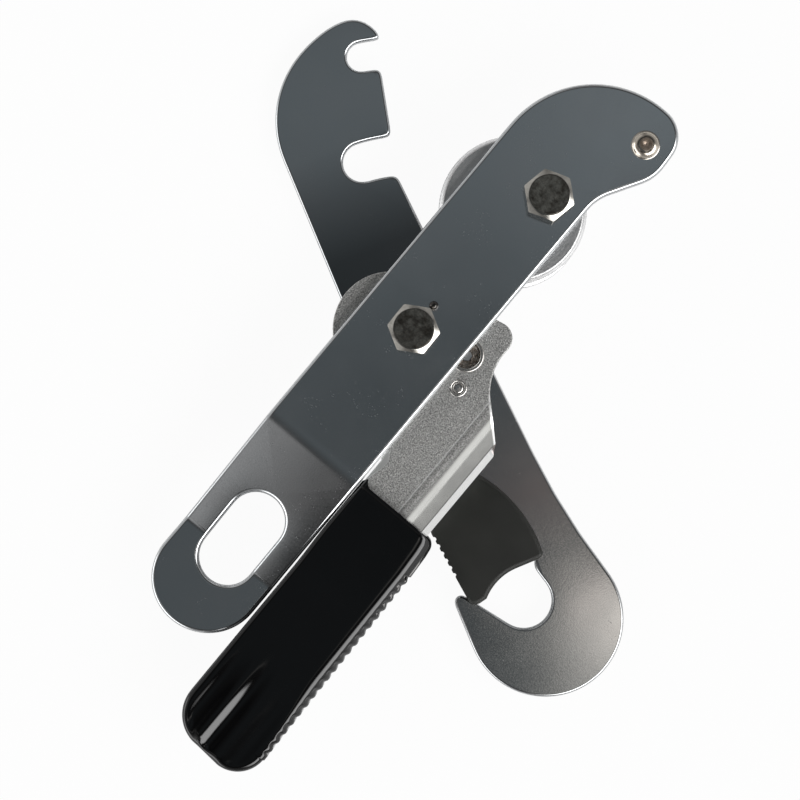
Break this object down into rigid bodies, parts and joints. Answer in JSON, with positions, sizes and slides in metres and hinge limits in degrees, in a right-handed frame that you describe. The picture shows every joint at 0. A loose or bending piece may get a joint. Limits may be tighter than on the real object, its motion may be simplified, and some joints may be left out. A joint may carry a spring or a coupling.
{
  "type": "rope descender",
  "caption": "Self-braking rope descender with hinged side plates, a fixed grooved bobbin, a cam on a squeeze handle and a spring gate across the carabiner eye.",
  "frame": {"origin": "middle of the front plate's carabiner slot, half way through the plate", "axes": "+Y along the front plate from its tail to its head, +Z out of the front plate's face, away from the swing plate"},
  "size_m": [0.1855, 0.2236, 0.0332],
  "materials": {
    "polished_plate": "mirror polished with rounded edges",
    "bobbin_metal": "turned, satin",
    "handle_blast": "sand blasted on the flat, smooth on the turned side",
    "bright_nickel": "bright nickel plate",
    "dark_steel": "darkened steel",
    "plain_steel": "turned steel",
    "bush_bronze": "turned bronze",
    "washer_plastic": "plain",
    "grip_black": "glossy moulding",
    "gate_black": "matt moulding"
  },
  "bodies": {
    "frame": {"front_plate": "polished_plate", "upper_bobbin": "bobbin_metal", "bobbin_dowel": "plain_steel", "upper_bolt": "bright_nickel", "upper_post": "plain_steel", "cam_bolt": "bright_nickel", "cam_post": "plain_steel", "bolt_lock_pin": "dark_steel", "front_washer": "washer_plastic", "guide_pin": "bright_nickel", "guide_sleeve": "plain_steel"},
    "handle": {"handle_arm": "handle_blast", "handle_grip": "grip_black", "cam_bobbin": "bobbin_metal", "cam_bush": "bush_bronze", "cam_screw": "dark_steel", "cam_pin": "bright_nickel", "rear_washer": "washer_plastic"},
    "swing_plate": {"swing_plate": "polished_plate", "gate_rivet": "bright_nickel", "gate_spring": "plain_steel"},
    "gate": {"gate": "gate_black"}
  },
  "joints": [
    {"name": "handle_pivot", "type": "hinge", "parent": "frame", "child": "handle", "pos_m": [0, 0.0773, 0], "axis": [0, 0, 1], "range_deg": [0, 25]},
    {"name": "swing_pivot", "type": "hinge", "parent": "frame", "child": "swing_plate", "pos_m": [0, 0.0773, 0], "axis": [0, 0, 1], "range_deg": [-62.4, 60]},
    {"name": "gate_pivot", "type": "hinge", "parent": "swing_plate", "child": "gate", "pos_m": [0.03463, 0.05073, 0], "axis": [0, 0, 1], "range_deg": [0, 25], "stiffness_Nm_per_rad": 0.02, "springref_deg": -5.73}
  ]
}
